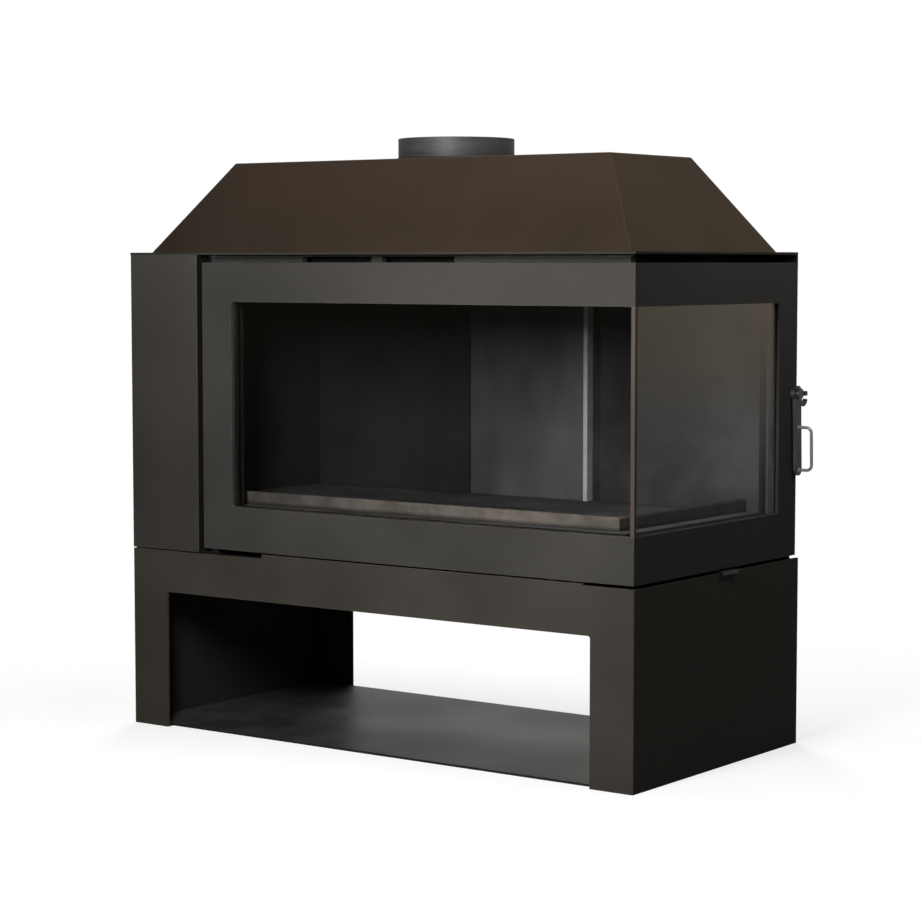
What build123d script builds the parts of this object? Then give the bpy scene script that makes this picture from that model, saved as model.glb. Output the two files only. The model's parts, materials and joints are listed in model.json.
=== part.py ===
from build123d import *
import math
import os

# Corner-glass wood burning stove on an open log store.
# +Z is up, the front faces -Y and the glass corner is at +X, -Y.
# The origin is on the floor, under the flue's axis. Sizes are in millimetres.

# Overall sizes
width = 1000.0
depth = 490.0
base_height = 299.0
body_height = 498.5
hood_rise = 150.0
collar_rise = 34.5

# Sheets and plates
base_sheet = 5.0
floor_sheet = 4.0
cover_sheet = 3.0
fire_plate = 5.0
top_sheet = 4.0
hood_sheet = 4.0
bend_radius = 2.0
cut_over = 1.0

# Log store
base_reach = 12.0
post_width = 76.0
beam_height = 69.5
floor_recess = 14.0
store_radius = 4.0
base_corner = 3.0

# Left column and door
column_width = 149.0
cover_foot_gap = 2.0
hinge_gap = 12.0
door_thickness = 30.0
door_skin = 5.0
door_stile = 62.5
wing_stile = 58.0
top_rail = 64.0
bottom_rail = 71.5
door_foot_gap = 10.5
door_head_gap = 12.5
door_rear_gap = 1.0
window_radius = 6.0

# Glazing
glass_thickness = 5.0
glass_lap = 12.0
glazing_room = 2.0
glazing_bar = 10.0
glazing_screw_radius = 3.0
glazing_screw_head = 2.0
glazing_screw_pitch = 170.0
corner_strip = 7.0
seat_gap = 0.3

# Rope seal
rope_size = 8.0
rope_inset = 30.0
mouth_lap = 8.0

# Door hinge
hinge_pin_radius = 5.0
hinge_pin_length = 20.0
hinge_boss_radius = 9.0
hinge_end_room = 2.0
hinge_tab = 15.0
running_gap = 0.05

# Firebox
wall_air = 30.0
lining = 12.0
lining_seam = 2.0
lining_seam_left = 388.0
lining_seam_right = 627.0
clamp_bar_width = 8.0
clamp_bar_proud = 6.0
clamp_bar_recess = 22.0
hearth_plate = 12.0
hearth_drop = 1.0
hearth_ledge_width = 20.0
hearth_ledge_plate = 6.0
retainer_inset = 66.0
retainer_height = 21.0
retainer_width = 12.0
retainer_chamfer = 2.0
baffle_plate = 8.0
baffle_drop = 49.0
baffle_throat = 92.0
baffle_rest_width = 17.0
baffle_rest_height = 8.0
baffle_rest_length = 160.0

# Grate and drop-in ash pan
pan_length = 300.0
pan_width = 140.0
pan_sheet = 2.0
pan_flange = 12.0
pan_flange_sheet = 3.0
pan_radius = 3.0
pan_floor_gap = 8.0
drop_gap = 1.5
grate_gap = 4.0
grate_ledge = 12.0
grate_corner = 8.0
grate_bar = 10.0
grate_slot = 9.0
grate_slot_length = 100.0

# Gaps round the door, air inlets above it and the air slide below its side wing
foot_slot_length = 95.0
foot_lip_gap = 3.0
foot_lip_end = 90.0
foot_ear_gap = 12.0
ear_inset = 2.0
ear_lap = 10.0
header_strip_thickness = 5.0
header_lip = 8.0
header_groove = 3.0
header_lift = 0.5
header_end = 8.0
header_slot_length = 140.0
header_slot_height = 8.5
header_slot_spacing = 160.0
header_slot_middle = 25.0
slide_sheet = 2.5
slide_length = 200.0
slide_front = 175.0
slide_travel = 30.0
air_slot_length = 30.0
air_slot_height = 14.0
air_slot_count = 3
guide_lip = 5.0
tab_length = 46.0
tab_front = 248.0
tab_reach = 7.0
tab_lip = 6.0

# Hood and flue
hood_inset = 25.0
hood_margin = 25.0
hood_mouth_radius = 12.0
hood_corner = 5.0
collar_radius = 95.0
collar_wall = 3.0
pipe_stop = 2.0

# Latch
latch_lift = 261.5
latch_edge = 9.0
latch_plate = 5.0
latch_stand_off = 3.0
latch_hub_radius = 13.0
latch_bolt_radius = 5.0
latch_bolt_head = 8.5
latch_bolt_head_height = 5.0
latch_bolt_depth = 16.0
latch_arm_length = 122.0
latch_arm_width = 20.0
latch_slant = 2.0
latch_swing = 24.0
hook_room = 2.0
hook_width = 7.0
hook_tip_angle = 15.0
handle_rod = 5.0
handle_reach = 23.0
handle_first = 54.0
handle_length = 69.0
handle_bend = 9.0
handle_sides = 12

# Keeper for the latch
keeper_pin_radius = 4.0
keeper_reach = 10.0
keeper_past_lever = 4.0
keeper_head = 1.5
keeper_plate = 4.0
keeper_length = 40.0
keeper_width = 40.0
keeper_ear_margin = 8.0
keeper_screw_spacing = 20.0

# Screws
screw_radius = 4.0
screw_head = 2.5
screw_inset = 25.0
back_screw_columns = 4
back_screw_rows = 3

# Main planes
half_width = width / 2
half_depth = depth / 2
base_depth = depth + base_reach
base_back = half_depth + base_reach
body_top = base_height + body_height
under_top = body_top - top_sheet
hood_top_level = body_top + hood_rise
store_head = base_height - beam_height
hood_run = half_depth - hood_inset - collar_radius - hood_margin
bottom_top = base_height + fire_plate

# Door planes
door_left = -half_width + column_width + hinge_gap
door_bottom = base_height + door_foot_gap
door_top = under_top - door_head_gap
door_end = half_depth - door_rear_gap
door_back = -half_depth + door_thickness
wing_inner = half_width - door_thickness
window_left = door_left + door_stile
window_bottom = door_bottom + bottom_rail
window_top = door_top - top_rail
window_end = door_end - wing_stile
hinge_x = door_left + door_thickness / 2
hinge_y = -half_depth + door_thickness / 2
foot_lip_left = hinge_x + hinge_tab + foot_slot_length

# Glass planes: the panes lie behind the door skin
glass_front = -half_depth + door_skin
glass_side = half_width - door_skin
rebate = glass_lap + glazing_room

# Mouth planes: the fixed plates that the rope seal closes on
mouth_front = door_back + rope_size
mouth_side = wing_inner - rope_size
mouth_left = window_left - mouth_lap
mouth_end = window_end + mouth_lap
mouth_head = window_top + mouth_lap
rope_bottom = door_bottom + rope_inset
rope_top = door_top - rope_inset

# Firebox planes
wall_left = -half_width + cover_sheet + wall_air
wall_back = half_depth - cover_sheet - wall_air
fire_left = wall_left + fire_plate
fire_back = wall_back - fire_plate
fire_front = mouth_front + fire_plate
fire_right = mouth_side - fire_plate
lining_left = fire_left + lining
lining_back = fire_back - lining
hearth_top = window_bottom - hearth_drop
hearth_bottom = hearth_top - hearth_plate
baffle_bottom = under_top - baffle_drop - baffle_plate
pan_middle_x = (lining_left + fire_right) / 2
pan_middle_y = (fire_front + lining_back) / 2
pan_bottom = bottom_top + pan_floor_gap

# Air slide planes
slide_inner = mouth_side + seat_gap
slide_outer = slide_inner + slide_sheet
slide_bottom = bottom_top + seat_gap
guide_top = rope_bottom - 2 * seat_gap
guide_under = guide_top - slide_sheet
slide_top = guide_under - seat_gap
guide_face = slide_outer + seat_gap + slide_sheet
air_slot_middle = (slide_bottom + slide_top) / 2

# Latch planes
latch_y = door_end - latch_edge
latch_height = door_bottom + latch_lift
lever_inner = half_width + latch_stand_off
lever_outer = lever_inner + latch_plate
keeper_y = half_depth + keeper_reach
hook_centre = keeper_y - latch_y
hook_inner = keeper_pin_radius + hook_room
hook_outer = hook_inner + hook_width
keeper_ear = wing_inner - fire_plate


def slab(low, high):
    """Plate between two opposite corners."""
    size = [b - a for a, b in zip(low, high)]
    middle = [(a + b) / 2 for a, b in zip(low, high)]
    return Pos(*middle) * Box(*size)


def prism(plan, bottom, top):
    """Upright plate or block on a plan outline."""
    outline = make_face(Polyline(*plan, close=True))
    return Pos(0, 0, bottom) * extrude(outline, top - bottom)


def corner_plan(left, front, right, back, thickness):
    """Plan of a sheet that runs along the front, turns the glass corner and follows the right side."""
    return [
        (left, front),
        (right, front),
        (right, back),
        (right - thickness, back),
        (right - thickness, front + thickness),
        (left, front + thickness),
    ]


def corner_opening(left, end, bottom, top, radius):
    """Two cutters that open a corner sheet from its left jamb, round the corner, to its rear jamb."""
    over = 2 * half_depth
    across = slab((left, -half_depth - over, bottom), (half_width + over, 0, top))
    along = slab((0, -half_depth - over, bottom), (half_width + over, end, top))
    if radius > 0:
        left_edges = across.edges().filter_by(Axis.Y).group_by(Axis.X)[0]
        across = fillet(left_edges, radius)
        end_edges = along.edges().filter_by(Axis.X).group_by(Axis.Y)[-1]
        along = fillet(end_edges, radius)
    front_only = slab((left - over, -half_depth - over, 0), (2 * over, mouth_front + fire_plate, body_top))
    side_only = slab((mouth_side - fire_plate, -half_depth - over, 0), (2 * over, over, body_top))
    return [across & front_only, along & side_only]


def mitre_plans(half_x, half_y):
    """Plans of the front, back, left and right quarters of a mitred rectangle."""
    ridge = half_x - half_y
    front = [(-half_x, -half_y), (half_x, -half_y), (ridge, 0), (-ridge, 0)]
    right = [(half_x, -half_y), (half_x, half_y), (ridge, 0)]
    return {
        "front": front,
        "back": [(-x, -y) for x, y in front],
        "left": [(-x, -y) for x, y in right],
        "right": right,
    }


def upright_rod(x, y, radius, bottom, top):
    """Vertical round rod."""
    return Pos(x, y, (bottom + top) / 2) * Cylinder(radius, top - bottom)


def cross_rod(left, right, y, z, radius):
    """Round rod along X."""
    return Pos((left + right) / 2, y, z) * Rot(0, 90, 0) * Cylinder(radius, right - left)


# Log store

def base_wall(side, height):
    """One wall of the log store's ring of sheets, mitred at its ends and rounded at the outer corners."""
    outline = RectangleRounded(width, base_depth, base_corner)
    outline -= Rectangle(width - 2 * base_sheet, base_depth - 2 * base_sheet)
    quarter = prism(mitre_plans(half_width, base_depth / 2)[side], 0, height)
    return Pos(0, base_reach / 2, 0) * (extrude(outline, height) & quarter)


def base_portal(side, height):
    """Front or back wall of the log store, open between its posts."""
    opening = slab(
        (-half_width + post_width, -depth, -store_head), (half_width - post_width, depth, store_head)
    )
    opening = fillet(opening.edges().filter_by(Axis.Y).group_by(Axis.Z)[-1], store_radius)
    return base_wall(side, height) - opening


def base_front():
    """Front portal: low under the column and the hinge, raised to a lip under most of the door."""
    lip_top = door_bottom - foot_lip_gap
    front = -half_depth - cut_over
    back = -half_depth + base_sheet + cut_over
    wall = base_portal("front", lip_top)
    wall -= slab((-width, front, base_height), (foot_lip_left, back, body_top))
    return wall - slab((half_width - foot_lip_end, front, bottom_top), (width, back, body_top))


def base_sheet_inside(bottom, top):
    """Level sheet that fills the ring of walls."""
    inside = half_width - base_sheet
    return slab((-inside, -half_depth + base_sheet, bottom), (inside, base_back - base_sheet, top))


def base_floor():
    """Floor sheet, drawn back from the walls' faces between the posts."""
    between = half_width - post_width
    back = base_back - floor_recess
    sheet = base_sheet_inside(0, floor_sheet)
    sheet -= slab((-between, -depth, -floor_sheet), (between, -half_depth + floor_recess, 2 * floor_sheet))
    return sheet - slab((-between, back, -floor_sheet), (between, depth, 2 * floor_sheet))


def base_top():
    """Top sheet of the log store, flush between its walls."""
    return base_sheet_inside(base_height - base_sheet, base_height)


# Body shell

def body_bottom():
    """Bottom plate behind the log store's raised walls, set back beside the hinge."""
    left = -half_width + cover_sheet
    front = -half_depth + base_sheet
    fold = -half_width + column_width
    tab_end = hinge_x + hinge_tab
    right = half_width - base_sheet
    back = half_depth - cover_sheet
    plan = [
        (left, front),
        (fold - cover_sheet, front),
        (fold - cover_sheet, mouth_front),
        (fold, mouth_front),
        (fold, front),
        (tab_end, front),
        (tab_end, mouth_front),
        (foot_lip_left, mouth_front),
        (foot_lip_left, front),
        (right, front),
        (right, back),
        (left, back),
    ]
    return prism(plan, base_height, bottom_top)


def left_cover():
    """Folded cover: the return beside the door, the column's front and the left side."""
    inner_x = -half_width + column_width
    t = cover_sheet
    plan = [
        (inner_x, mouth_front),
        (inner_x, -half_depth),
        (-half_width, -half_depth),
        (-half_width, half_depth),
        (-half_width + t, half_depth),
        (-half_width + t, -half_depth + t),
        (inner_x - t, -half_depth + t),
        (inner_x - t, mouth_front),
    ]
    sheet = prism(plan, base_height + cover_foot_gap, under_top)
    uprights = sheet.edges().filter_by(Axis.Z)
    outer_bends = uprights.filter_by(lambda e: abs(e.center().Y + half_depth) < t / 2)
    return fillet(outer_bends, bend_radius)


def back_panel():
    """Outer rear sheet, with an ear that laps behind the wing's top and a shorter one behind its foot."""
    edge = mouth_side + fire_plate
    lap = edge - ear_lap
    front = half_depth - cover_sheet
    back = half_depth + cover_sheet
    sheet = slab((-half_width + cover_sheet, front, base_height), (edge, half_depth, under_top))
    sheet += slab((lap, half_depth, door_top - ear_lap), (half_width - ear_inset, back, under_top))
    lower_end = half_width - foot_ear_gap
    return sheet + slab((lap, half_depth, base_height), (lower_end, back, door_bottom + ear_lap))


def top_plate():
    """Top plate of the body, open under the hood."""
    opening = slab(
        (-half_width + hood_inset + hood_run, -half_depth + hood_inset + hood_run, 0),
        (half_width - hood_inset - hood_run, half_depth - hood_inset - hood_run, 2 * body_top),
    )
    opening = fillet(opening.edges().filter_by(Axis.Z), hood_mouth_radius)
    sheet = slab((-half_width, -half_depth, under_top), (half_width, half_depth, body_top))
    return sheet - opening


def header_strip():
    """Strip above the door with two air slots, open below, and a shadow groove under the top plate."""
    front = -half_depth
    web = front + header_lip
    back = web + header_strip_thickness
    bottom = door_top + header_lift
    left = hinge_x + hinge_boss_radius + header_lift
    right = half_width - header_end
    strip = slab((left, web, bottom), (right, back, under_top))
    strip += slab((left, front, bottom), (right, web, under_top - header_groove))
    for side in (-1, 1):
        middle = header_slot_middle + side * header_slot_spacing / 2
        strip -= slab(
            (middle - header_slot_length / 2, front - cut_over, bottom - header_slot_height),
            (middle + header_slot_length / 2, back + cut_over, bottom + header_slot_height),
        )
    return strip


# Firebox shell and lining

def left_wall():
    return slab((wall_left, mouth_front, bottom_top), (fire_left, wall_back, under_top))


def back_wall():
    return slab((fire_left, fire_back, bottom_top), (fire_right, wall_back, under_top))


def left_jamb():
    """Plate behind the column and the hinge stile."""
    return slab((fire_left, mouth_front, bottom_top), (mouth_left, fire_front, under_top))


def rear_jamb():
    """Plate behind the wing's latch stile."""
    return slab((fire_right, mouth_end, bottom_top), (mouth_side, half_depth - cover_sheet, under_top))


def sill():
    """Lower mouth plate round the corner, with the air slots in its side leg."""
    plan = corner_plan(mouth_left, mouth_front, mouth_side, mouth_end, fire_plate)
    plate = prism(plan, bottom_top, hearth_top)
    for slot in air_slots(fire_right - fire_plate, mouth_side + fire_plate):
        plate -= slot
    return plate


def lintel():
    """Upper mouth plate round the corner."""
    plan = corner_plan(mouth_left, mouth_front, mouth_side, mouth_end, fire_plate)
    return prism(plan, mouth_head, under_top)


def left_lining():
    return slab((fire_left, fire_front, hearth_top), (lining_left, fire_back, baffle_bottom))


def back_lining(left, right):
    """One cast lining plate of the back wall."""
    return slab((left, lining_back, hearth_top), (right, fire_back, baffle_bottom))


def clamp_bar():
    """Upright bar that clamps the lining plates beside the open seam."""
    left = -half_width + lining_seam_right
    return slab(
        (left, lining_back - clamp_bar_proud, hearth_top), (left + clamp_bar_width, fire_back, baffle_bottom)
    )


def hearth_ledge():
    """Ring of flat bar that carries the hearth."""
    bottom = hearth_bottom - hearth_ledge_plate
    ring = slab((fire_left, fire_front, bottom), (fire_right, fire_back, hearth_bottom))
    inside = slab(
        (fire_left + hearth_ledge_width, fire_front + hearth_ledge_width, 0),
        (fire_right - hearth_ledge_width, fire_back - hearth_ledge_width, body_top),
    )
    return ring - inside


def pan_block(margin, radius, bottom, top):
    """Round-cornered block about the ash pan's centre, wider than the pan by a margin all round."""
    outline = RectangleRounded(pan_length + 2 * margin, pan_width + 2 * margin, radius)
    return Pos(pan_middle_x, pan_middle_y, bottom) * extrude(outline, top - bottom)


def hearth():
    """Hearth plate with a stepped opening for the drop-in ash pan."""
    plate = slab((fire_left, fire_front, hearth_bottom), (fire_right, fire_back, hearth_top))
    plate -= pan_block(drop_gap, pan_radius + drop_gap, 0, body_top)
    step = pan_flange + drop_gap
    return plate - pan_block(step, pan_radius + step, hearth_top - pan_flange_sheet, body_top)


def log_retainer():
    """Raised bar that keeps logs off the glass, along the front and the right side."""
    plan = corner_plan(
        lining_left,
        -half_depth + retainer_inset,
        half_width - retainer_inset,
        lining_back,
        retainer_width,
    )
    bar = prism(plan, hearth_top, hearth_top + retainer_height)
    top_edges = bar.edges().group_by(Axis.Z)[-1]
    return chamfer(top_edges, retainer_chamfer)


def baffle():
    """Smoke baffle on top of the lining, open along the front."""
    return slab(
        (fire_left, fire_front + baffle_throat, baffle_bottom),
        (fire_right - seat_gap, fire_back, baffle_bottom + baffle_plate),
    )


def baffle_rest():
    """Bar on the lintel's side leg that carries the baffle's right edge."""
    middle = (fire_front + baffle_throat + lining_back) / 2
    return slab(
        (fire_right - baffle_rest_width, middle - baffle_rest_length / 2, baffle_bottom - baffle_rest_height),
        (fire_right, middle + baffle_rest_length / 2, baffle_bottom),
    )


# Ash pan and grate

def ash_pan():
    """Drop-in tray that hangs by its flange in the hearth's step, with a ledge for the grate at each end."""
    inner_radius = pan_radius - pan_sheet
    tray = pan_block(0, pan_radius, pan_bottom, hearth_top)
    tray += pan_block(pan_flange, pan_radius + pan_flange, hearth_top - pan_flange_sheet, hearth_top)
    tray -= pan_block(-pan_sheet, inner_radius, pan_bottom + pan_sheet, body_top)
    ledge_top = hearth_top - grate_bar
    ledges = pan_block(-pan_sheet, inner_radius, ledge_top - pan_sheet, ledge_top)
    reach = pan_length / 2 - pan_sheet - grate_ledge
    between = slab((pan_middle_x - reach, -depth, 0), (pan_middle_x + reach, depth, body_top))
    return tray + (ledges - between)


def grate():
    """Cast grate: a slotted plate that drops into the pan's mouth and lies on its end ledges."""
    drop = pan_sheet + grate_gap
    plate = pan_block(-drop, grate_corner, hearth_top - grate_bar, hearth_top)
    pitch = grate_slot + grate_bar
    count = int((pan_length - 2 * drop - 2 * grate_bar) // pitch)
    slot = SlotOverall(grate_slot_length, grate_slot, rotation=90)
    slots = Pos(pan_middle_x, pan_middle_y, hearth_top - 2 * grate_bar) * extrude(
        Sketch() + [place * slot for place in GridLocations(pitch, pitch, count, 1)], 3 * grate_bar
    )
    return plate - slots


# Hood and flue

def hood_block(shrink):
    """Frustum of the hood, drawn in by a level distance on every side."""
    inset = hood_inset + shrink
    base = Plane.XY.offset(body_top) * Rectangle(width - 2 * inset, depth - 2 * inset)
    return extrude(base, hood_rise, taper=math.degrees(math.atan2(hood_run, hood_rise)))


def hood_shrink():
    """Level width of the hood sheet on its slope."""
    return hood_sheet * math.hypot(hood_rise, hood_run) / hood_rise


def hood_sides():
    """The hood's four sloping sheets, mitred along the rounded hips."""
    block = hood_block(0)
    level = block.edges().filter_by(lambda e: abs(e.tangent_at(0.5).Z) < 0.01)
    hips = block.edges() - level
    shell = fillet(hips + level.group_by(Axis.Z)[-1], hood_corner) - hood_block(hood_shrink())
    plans = mitre_plans(half_width - hood_inset, half_depth - hood_inset)
    return {f"hood_{side}": shell & prism(plan, 0, 2 * hood_top_level) for side, plan in plans.items()}


def hood_top():
    """Level top sheet of the hood, let in between the sloping sheets, with the flue hole."""
    slice_low = hood_top_level - hood_sheet
    slice_block = slab((-half_width, -half_depth, slice_low), (half_width, half_depth, hood_top_level))
    hole = upright_rod(0, 0, collar_radius - collar_wall - pipe_stop, 0, 2 * hood_top_level)
    return (hood_block(hood_shrink()) & slice_block) - hole


def flue_collar():
    """Socket for the flue pipe, standing on the hood's top sheet."""
    top = hood_top_level + collar_rise
    ring = upright_rod(0, 0, collar_radius, hood_top_level, top)
    return ring - upright_rod(0, 0, collar_radius - collar_wall, 0, 2 * top)


# Door

def door_frame():
    """Welded L-shaped frame, open round the glass corner and rebated behind its skin."""
    plan = corner_plan(door_left, -half_depth, half_width, door_end, door_thickness)
    frame = prism(plan, door_bottom, door_top)
    for cutter in corner_opening(window_left, window_end, window_bottom, window_top, window_radius):
        frame -= cutter
    pocket = corner_plan(window_left - rebate, glass_front, glass_side, window_end + rebate, door_thickness)
    frame -= prism(pocket, window_bottom - rebate, window_top + rebate)
    pin_hole = hinge_pin_radius + running_gap
    deep = hinge_pin_length + hinge_end_room
    frame -= upright_rod(hinge_x, hinge_y, pin_hole, door_bottom - cut_over, door_bottom + deep)
    frame -= upright_rod(hinge_x, hinge_y, pin_hole, door_top - deep, door_top + cut_over)
    bolt_hole = latch_bolt_radius + running_gap
    bolt_end = half_width - latch_bolt_depth - cut_over
    return frame - cross_rod(bolt_end, half_width + cut_over, latch_y, latch_height, bolt_hole)


def front_glass():
    """Front pane, butted against the side pane at the corner."""
    return slab(
        (window_left - glass_lap, glass_front, window_bottom - glass_lap),
        (glass_side - glass_thickness - seat_gap, glass_front + glass_thickness, window_top + glass_lap),
    )


def side_glass():
    """Side pane; its front edge shows at the corner."""
    return slab(
        (glass_side - glass_thickness, glass_front, window_bottom - glass_lap),
        (glass_side, window_end + glass_lap, window_top + glass_lap),
    )


def corner_bead():
    """Slim angle over the glass corner, flush with the skin and standing between the rails."""
    plan = corner_plan(
        half_width - corner_strip, -half_depth, half_width, -half_depth + corner_strip, door_skin
    )
    return prism(plan, window_bottom, window_top)


def front_bars():
    """Corners of the bars that hold the front pane: the upright at the hinge stile and two level ones."""
    low = window_bottom - glass_lap
    high = window_top + glass_lap
    front = glass_front + glass_thickness
    back = front + glazing_bar
    start = window_left + seat_gap
    end = glass_side - glass_thickness - glazing_bar - seat_gap
    return [
        ((window_left - glass_lap, front, low), (window_left, back, high)),
        ((start, front, low), (end, back, window_bottom)),
        ((start, front, window_top), (end, back, high)),
    ]


def side_bars():
    """Corners of the bars that hold the side pane: the upright at the latch stile and two level ones."""
    low = window_bottom - glass_lap
    high = window_top + glass_lap
    outer = glass_side - glass_thickness
    inner = outer - glazing_bar
    start = glass_front + glass_thickness + seat_gap
    end = window_end - seat_gap
    return [
        ((inner, window_end, low), (outer, window_end + glass_lap, high)),
        ((inner, start, low), (outer, end, window_bottom)),
        ((inner, start, window_top), (outer, end, high)),
    ]


def glazing_bars(corners):
    """The bars of one pane."""
    return Compound([slab(low, high) for low, high in corners])


def bar_screws(low, high, axis, level, turn):
    """Screw heads spaced along a bar, on its face at a level of one axis; axis 0 is X and 1 is Y."""
    size = [b - a for a, b in zip(low, high)]
    along = size.index(max(size))
    count = max(2, round(size[along] / glazing_screw_pitch))
    points = []
    for index in range(count):
        point = [(a + b) / 2 for a, b in zip(low, high)]
        point[along] = low[along] + size[along] * (index + 0.5) / count
        point[axis] = level
        points.append(point)
    return screw_heads(points, turn, glazing_screw_radius, glazing_screw_head)


def glazing_screws():
    """Screws that hold every glazing bar from inside the door."""
    heads = []
    for low, high in front_bars():
        heads += bar_screws(low, high, 1, high[1], Rot(-90, 0, 0))
    for low, high in side_bars():
        heads += bar_screws(low, high, 0, low[0], Rot(0, -90, 0))
    return Compound(heads)


def door_seal():
    """Rope seal on the door's back: up the hinge stile, along the rails and down the latch stile."""
    left = door_left + rope_inset
    end = door_end - rope_inset
    plan = corner_plan(left, door_back, wing_inner, end, rope_size)
    rope = prism(plan, rope_bottom, rope_top)
    low = rope_bottom + rope_size
    high = rope_top - rope_size
    for cutter in corner_opening(left + rope_size, end - rope_size, low, high, 0):
        rope -= cutter
    return rope


def hinge_bottom():
    """Lower pivot: a boss that carries the door and a pin that enters its stile."""
    boss_top = door_bottom - seat_gap
    boss = upright_rod(hinge_x, hinge_y, hinge_boss_radius, bottom_top, boss_top)
    return boss + upright_rod(hinge_x, hinge_y, hinge_pin_radius, boss_top, door_bottom + hinge_pin_length)


def hinge_top():
    """Upper pivot: a boss under the top plate and a pin that enters the door's stile."""
    boss_bottom = door_top + seat_gap
    boss = upright_rod(hinge_x, hinge_y, hinge_boss_radius, boss_bottom, under_top)
    pin_end = door_top - hinge_pin_length
    return boss + upright_rod(hinge_x, hinge_y, hinge_pin_radius, pin_end, boss_bottom)


# Latch

def latch_plane(x):
    """Plane across X through the latch pivot: its own x runs to the rear and its y runs up."""
    return Plane(origin=(x, latch_y, latch_height), x_dir=(0, 1, 0), z_dir=(1, 0, 0))


def arm_point(x, along):
    """Point on the lever's arm, a distance below the pivot."""
    slant = math.radians(latch_slant)
    return (x, latch_y + along * math.sin(slant), latch_height - along * math.cos(slant))


def latch_lever():
    """Flat bell crank: the arm hangs from the pivot and the hook reaches behind the door."""
    mouth_reach = 3 * hook_outer
    tip = math.radians(hook_tip_angle)
    mouth = make_face(Polyline(
        (0, 0),
        (mouth_reach * math.cos(tip), mouth_reach * math.sin(tip)),
        (0, mouth_reach),
        (-mouth_reach * math.cos(tip), mouth_reach * math.sin(tip)),
        close=True,
    ))
    hook = Pos(hook_centre, 0) * (Circle(hook_outer) - Circle(hook_inner) - mouth)
    hook = Rot(0, 0, -latch_swing) * hook
    arm = Rot(0, 0, latch_slant) * (
        Pos(0, -latch_arm_length / 2) * SlotCenterToCenter(latch_arm_length, latch_arm_width, rotation=90)
    )
    outline = Circle(latch_hub_radius) + arm + hook - Circle(latch_bolt_radius + running_gap)
    return extrude(latch_plane(lever_inner) * outline, latch_plate)


def latch_handle():
    """Round-rod D-loop, standing out from the arm."""
    out = lever_outer + handle_reach
    first = handle_first
    last = handle_first + handle_length
    path = FilletPolyline(
        arm_point(lever_outer, first),
        arm_point(out, first),
        arm_point(out, last),
        arm_point(lever_outer, last),
        radius=handle_bend,
    )
    section = Plane(origin=path @ 0, z_dir=path % 0) * RegularPolygon(handle_rod / 2, handle_sides)
    return sweep(section, path=path)


def latch_bolt():
    """Shouldered bolt that carries the lever on the latch stile."""
    head = lever_outer + seat_gap
    shank = cross_rod(half_width - latch_bolt_depth, head, latch_y, latch_height, latch_bolt_radius)
    return shank + cross_rod(head, head + latch_bolt_head_height, latch_y, latch_height, latch_bolt_head)


def latch_washer():
    """Spacer between the stile and the lever."""
    ring = cross_rod(half_width, lever_inner - seat_gap, latch_y, latch_height, latch_hub_radius)
    return ring - cross_rod(0, 2 * half_width, latch_y, latch_height, latch_bolt_radius + running_gap)


def keeper_bracket():
    """Angle on the back panel whose ear carries the keeper pin."""
    ear_end = keeper_y + keeper_ear_margin
    plan = [
        (keeper_ear - keeper_width, half_depth),
        (keeper_ear, half_depth),
        (keeper_ear, ear_end),
        (keeper_ear - keeper_plate, ear_end),
        (keeper_ear - keeper_plate, half_depth + keeper_plate),
        (keeper_ear - keeper_width, half_depth + keeper_plate),
    ]
    angle = prism(plan, latch_height - keeper_length / 2, latch_height + keeper_length / 2)
    return angle - cross_rod(0, width, keeper_y, latch_height, keeper_pin_radius + running_gap)


def keeper_pin():
    """Headed pin that the hook lifts around."""
    inner = keeper_ear - keeper_plate
    end = lever_outer + keeper_past_lever
    head = cross_rod(inner - keeper_plate, inner, keeper_y, latch_height, keeper_pin_radius + keeper_head)
    return head + cross_rod(inner, end, keeper_y, latch_height, keeper_pin_radius)


# Air slide

def air_slots(left, right):
    """Cutters for the row of air slots in the sill and the slide."""
    start = -half_depth + slide_front
    pitch = slide_length / air_slot_count
    slots = []
    for index in range(air_slot_count):
        middle = start + pitch * (index + 0.5)
        slots.append(slab(
            (left, middle - air_slot_length / 2, air_slot_middle - air_slot_height / 2),
            (right, middle + air_slot_length / 2, air_slot_middle + air_slot_height / 2),
        ))
    return slots


def air_slide():
    """Slotted strip outside the sill, with a tab that comes out under the door's wing."""
    start = -half_depth + slide_front
    strip = slab((slide_inner, start, slide_bottom), (slide_outer, start + slide_length, slide_top))
    for slot in air_slots(slide_inner - slide_sheet, slide_outer + slide_sheet):
        strip -= slot
    tab_start = -half_depth + tab_front
    tab_end = tab_start + tab_length
    tip = half_width + tab_reach
    strip += slab((slide_inner, tab_start, slide_bottom), (tip, tab_end, slide_bottom + slide_sheet))
    lip_bottom = slide_bottom + slide_sheet - tab_lip
    return strip + slab((tip - slide_sheet, tab_start, lip_bottom), (tip, tab_end, slide_bottom + slide_sheet))


def air_guide():
    """Angle above the slide that keeps it against the sill over its whole travel."""
    start = -half_depth + slide_front
    end = start + slide_length + slide_travel
    bar = slab((mouth_side, start, guide_under), (guide_face, end, guide_top))
    return bar + slab((slide_outer + seat_gap, start, guide_under - guide_lip), (guide_face, end, guide_top))


# Screws

def screw_heads(points, turn, radius, height):
    """Hexagon heads that stand on a face, one at each point; the turn points them out of the face."""
    head = extrude(RegularPolygon(radius, 6), height)
    return [Pos(*point) * turn * head for point in points]


def back_screws():
    """Screws round the back panel; the keeper's own screws take the place of the one beside the latch."""
    left = -half_width + cover_sheet + screw_inset
    right = fire_right - screw_inset
    low = base_height + screw_inset
    high = under_top - screw_inset
    points = []
    for column in range(back_screw_columns):
        for row in range(back_screw_rows):
            if column > 0 and 0 < row < back_screw_rows - 1:
                continue
            x = left + (right - left) * column / (back_screw_columns - 1)
            z = low + (high - low) * row / (back_screw_rows - 1)
            points.append((x, half_depth, z))
    return Compound(screw_heads(points, Rot(-90, 0, 0), screw_radius, screw_head))


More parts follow.
